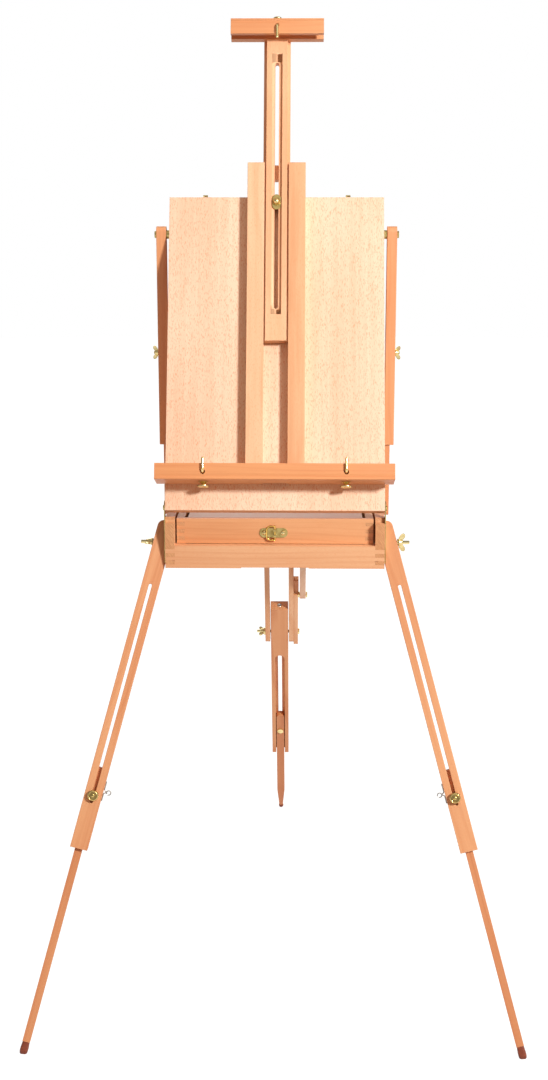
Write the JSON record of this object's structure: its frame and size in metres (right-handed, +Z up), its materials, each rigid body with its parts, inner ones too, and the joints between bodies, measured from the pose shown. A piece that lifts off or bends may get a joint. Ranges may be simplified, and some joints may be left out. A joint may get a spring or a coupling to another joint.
{
  "type": "box easel",
  "caption": "Wooden sketch-box easel on telescopic legs, with a drawer, a tilting lid that carries a canvas ledge, and a sliding mast with a top canvas holder.",
  "frame": {"origin": "bottom centre of the whole easel's bounding box, on the floor between the three feet", "axes": "+Z up, -Y towards the painter, +X to the painter's right as they face the canvas"},
  "size_m": [0.8444, 1.072, 1.696],
  "materials": {
    "beech": "oiled beech, satin",
    "beech_ledge": "darker oiled beech moulding, satin",
    "beech_panel": "pale beech veneer, satin",
    "brass": "polished brass, lightly worn",
    "foot_rubber": "dark reddish brown rubber",
    "handle_leather": "brown leather grip",
    "steel_wire": "bright plated wire"
  },
  "bodies": {
    "box": {"box_side_left": "beech", "box_side_right": "beech", "box_front_rail": "beech", "box_back_board": "beech", "box_bottom_panel": "beech_panel", "drawer_runners": "beech", "side_straps": "brass", "box_bolts": "brass", "rear_brackets": "beech", "back_fittings": "brass"},
    "catch_levers": {"catch_levers": "brass"},
    "carry_handle": {"carry_handle": "handle_leather"},
    "lid": {"lid_panel": "beech_panel", "lid_frame": "beech", "lid_brass": "brass", "canvas_rails": "beech", "canvas_ledge": "beech_ledge"},
    "mast": {"mast": "beech", "top_holder": "beech_ledge"},
    "mast_clamp": {"mast_clamp_nut": "brass"},
    "top_holder_hook": {"top_holder_hook": "brass"},
    "top_holder_thumbscrew": {"top_holder_thumbscrew": "brass"},
    "drawer": {"drawer_front": "beech_ledge", "drawer_frame": "beech_ledge", "palette": "beech_panel", "drawer_latch_plate": "brass"},
    "latch_ring": {"drawer_latch_ring": "brass"},
    "rear_fork": {"rear_fork_arms": "beech", "rear_fork_bolts": "brass"},
    "rear_stay": {"rear_stay": "beech"},
    "rear_leg": {"rear_outer_leg": "beech"},
    "rear_inner": {"rear_inner_leg": "beech", "rear_foot": "foot_rubber", "rear_clamp_bolt": "brass"},
    "rear_knee_wingnut": {"rear_pivot_wingnut": "brass"},
    "rear_clamp_wingnut": {"rear_clamp_wingnut": "brass"},
    "ledge_hook_right": {"ledge_hook_right": "brass"},
    "ledge_thumbscrew_right": {"ledge_thumbscrew_right": "brass"},
    "strut_bar_right": {"strut_bar_right": "beech"},
    "strut_strip_right": {"strut_strip_right": "beech"},
    "strut_wingnut_right": {"strut_wingnut_right": "brass"},
    "front_leg_washer_right": {"front_leg_washer_right": "brass"},
    "front_leg_right": {"front_leg_outer_right": "beech", "leg_wire_clip_right": "steel_wire"},
    "front_leg_inner_right": {"front_leg_inner_right": "beech", "front_leg_foot_right": "foot_rubber"},
    "front_leg_knob_right": {"front_leg_knob_right": "brass"},
    "front_leg_wingnut_right": {"front_leg_wingnut_right": "brass"},
    "ledge_hook_left": {"ledge_hook_left": "brass"},
    "ledge_thumbscrew_left": {"ledge_thumbscrew_left": "brass"},
    "strut_bar_left": {"strut_bar_left": "beech"},
    "strut_strip_left": {"strut_strip_left": "beech"},
    "strut_wingnut_left": {"strut_wingnut_left": "brass"},
    "front_leg_washer_left": {"front_leg_washer_left": "brass"},
    "front_leg_left": {"front_leg_outer_left": "beech", "leg_wire_clip_left": "steel_wire"},
    "front_leg_inner_left": {"front_leg_inner_left": "beech", "front_leg_foot_left": "foot_rubber"},
    "front_leg_knob_left": {"front_leg_knob_left": "brass"},
    "front_leg_wingnut_left": {"front_leg_wingnut_left": "brass"}
  },
  "joints": [
    {"name": "lid_tilt", "type": "hinge", "parent": "box", "child": "lid", "pos_m": [0, -0.30107, 0.8808], "axis": [-1, 0, 0], "range_deg": [0, 70]},
    {"name": "mast_slide", "type": "slide", "parent": "lid", "child": "mast", "axis": [0, 0.342, 0.9397], "range_m": [-0.212, 0.166]},
    {"name": "mast_clamp_turn", "type": "hinge", "parent": "lid", "child": "mast_clamp", "pos_m": [0, -0.13709, 1.37811], "axis": [0, -0.9397, 0.342], "continuous": true},
    {"name": "top_hook_slide", "type": "slide", "parent": "mast", "child": "top_holder_hook", "axis": [0, -0.9397, 0.342], "range_m": [0, 0.018]},
    {"name": "top_thumbscrew_turn", "type": "hinge", "parent": "mast", "child": "top_holder_thumbscrew", "pos_m": [0, -0.057, 1.68588], "axis": [0, 0.342, 0.9397], "continuous": true},
    {"name": "drawer_slide", "type": "slide", "parent": "box", "child": "drawer", "axis": [0, -1, 0], "range_m": [0, 0.38]},
    {"name": "latch_ring_swing", "type": "hinge", "parent": "drawer", "child": "latch_ring", "pos_m": [0, -0.30297, 0.8376], "axis": [0, 0, 1], "range_deg": [0, 150]},
    {"name": "catch_lever_swing", "type": "hinge", "parent": "box", "child": "catch_levers", "pos_m": [0, 0.24123, 0.837], "axis": [1, 0, 0], "range_deg": [0, 180]},
    {"name": "carry_handle_swing", "type": "hinge", "parent": "box", "child": "carry_handle", "pos_m": [0, 0.24623, 0.823], "axis": [1, 0, 0], "range_deg": [0, 110]},
    {"name": "ledge_hook_right_slide", "type": "slide", "parent": "lid", "child": "ledge_hook_right", "axis": [0, -0.9397, 0.342], "range_m": [0, 0.022]},
    {"name": "ledge_thumbscrew_right_turn", "type": "hinge", "parent": "lid", "child": "ledge_thumbscrew_right", "pos_m": [0.1185, -0.3258, 0.92981], "axis": [0, 0.342, 0.9397], "continuous": true},
    {"name": "strut_right_swing", "type": "hinge", "parent": "lid", "child": "strut_bar_right", "pos_m": [0, -0.13793, 1.32903], "axis": [-1, 0, 0], "range_deg": [0, 15.05]},
    {"name": "strut_right_slide", "type": "slide", "parent": "strut_bar_right", "child": "strut_strip_right", "axis": [0, -0.0087, 1], "range_m": [0, 0.16702]},
    {"name": "strut_wingnut_right_turn", "type": "hinge", "parent": "strut_strip_right", "child": "strut_wingnut_right", "pos_m": [0, -0.13616, 1.12599], "axis": [1, 0, 0], "continuous": true},
    {"name": "front_leg_right_shift", "type": "slide", "parent": "box", "child": "front_leg_washer_right", "axis": [1, 0, 0], "range_m": [0, 0.0126]},
    {"name": "front_leg_right_fold", "type": "hinge", "parent": "front_leg_washer_right", "child": "front_leg_right", "pos_m": [0.192, -0.28677, 0.819], "axis": [0.9649, 0, 0.2627], "range_deg": [0, 106.16]},
    {"name": "front_leg_right_extend", "type": "slide", "parent": "front_leg_right", "child": "front_leg_inner_right", "axis": [-0.2523, 0.2784, 0.9267], "range_m": [0, 0.329]},
    {"name": "front_leg_knob_right_turn", "type": "hinge", "parent": "front_leg_inner_right", "child": "front_leg_knob_right", "pos_m": [0.30341, -0.40967, 0.40985], "axis": [-0.0731, -0.9605, 0.2686], "continuous": true},
    {"name": "front_leg_wingnut_right_turn", "type": "hinge", "parent": "front_leg_washer_right", "child": "front_leg_wingnut_right", "pos_m": [0.192, -0.28677, 0.819], "axis": [1, 0, 0], "continuous": true},
    {"name": "ledge_hook_left_slide", "type": "slide", "parent": "lid", "child": "ledge_hook_left", "axis": [0, -0.9397, 0.342], "range_m": [0, 0.022]},
    {"name": "ledge_thumbscrew_left_turn", "type": "hinge", "parent": "lid", "child": "ledge_thumbscrew_left", "pos_m": [-0.1185, -0.3258, 0.92981], "axis": [0, 0.342, 0.9397], "continuous": true},
    {"name": "strut_left_swing", "type": "hinge", "parent": "lid", "child": "strut_bar_left", "pos_m": [0, -0.13793, 1.32903], "axis": [-1, 0, 0], "range_deg": [0, 15.05]},
    {"name": "strut_left_slide", "type": "slide", "parent": "strut_bar_left", "child": "strut_strip_left", "axis": [0, -0.0087, 1], "range_m": [0, 0.16702]},
    {"name": "strut_wingnut_left_turn", "type": "hinge", "parent": "strut_strip_left", "child": "strut_wingnut_left", "pos_m": [0, -0.13616, 1.12599], "axis": [1, 0, 0], "continuous": true},
    {"name": "front_leg_left_shift", "type": "slide", "parent": "box", "child": "front_leg_washer_left", "axis": [-1, 0, 0], "range_m": [0, 0.0126]},
    {"name": "front_leg_left_fold", "type": "hinge", "parent": "front_leg_washer_left", "child": "front_leg_left", "pos_m": [-0.192, -0.28677, 0.819], "axis": [0.9649, 0, -0.2627], "range_deg": [0, 106.16]},
    {"name": "front_leg_left_extend", "type": "slide", "parent": "front_leg_left", "child": "front_leg_inner_left", "axis": [0.2523, 0.2784, 0.9267], "range_m": [0, 0.329]},
    {"name": "front_leg_knob_left_turn", "type": "hinge", "parent": "front_leg_inner_left", "child": "front_leg_knob_left", "pos_m": [-0.30341, -0.40967, 0.40985], "axis": [0.0731, -0.9605, 0.2686], "continuous": true},
    {"name": "front_leg_wingnut_left_turn", "type": "hinge", "parent": "front_leg_washer_left", "child": "front_leg_wingnut_left", "pos_m": [-0.192, -0.28677, 0.819], "axis": [1, 0, 0], "continuous": true},
    {"name": "rear_fork_fold", "type": "hinge", "parent": "box", "child": "rear_fork", "pos_m": [0, 0.11023, 0.765], "axis": [-1, 0, 0], "range_deg": [0, 119.11]},
    {"name": "rear_knee_fold", "type": "hinge", "parent": "rear_fork", "child": "rear_leg", "pos_m": [0, 0.25327, 0.50814], "axis": [1, 0, 0], "range_deg": [0, 180.1]},
    {"name": "rear_stay_fold", "type": "hinge", "parent": "rear_fork", "child": "rear_stay", "pos_m": [0, 0.2017, 0.60075], "axis": [1, 0, 0], "range_deg": [0, 164]},
    {"name": "rear_leg_extend", "type": "slide", "parent": "rear_leg", "child": "rear_inner", "axis": [0, -0.4865, 0.8737], "range_m": [0, 0.186]},
    {"name": "rear_knee_wingnut_turn", "type": "hinge", "parent": "rear_fork", "child": "rear_knee_wingnut", "pos_m": [0, 0.25327, 0.50814], "axis": [1, 0, 0], "continuous": true},
    {"name": "rear_clamp_wingnut_turn", "type": "hinge", "parent": "rear_inner", "child": "rear_clamp_wingnut", "pos_m": [0, 0.39922, 0.24604], "axis": [0, -0.8737, -0.4865], "continuous": true}
  ],
  "couplings": [
    {"joint": "strut_right_swing", "follows": "lid_tilt", "ratio": 0.21431},
    {"joint": "strut_right_slide", "follows": "lid_tilt", "m_per_rad": 0.13663},
    {"joint": "front_leg_right_shift", "follows": "front_leg_right_fold", "m_per_rad": 0.006746},
    {"joint": "strut_left_swing", "follows": "lid_tilt", "ratio": 0.21431},
    {"joint": "strut_left_slide", "follows": "lid_tilt", "m_per_rad": 0.13663},
    {"joint": "front_leg_left_shift", "follows": "front_leg_left_fold", "m_per_rad": 0.006746},
    {"joint": "rear_knee_fold", "follows": "rear_fork_fold", "ratio": 1.5112},
    {"joint": "rear_stay_fold", "follows": "rear_fork_fold", "ratio": 1.376}
  ]
}
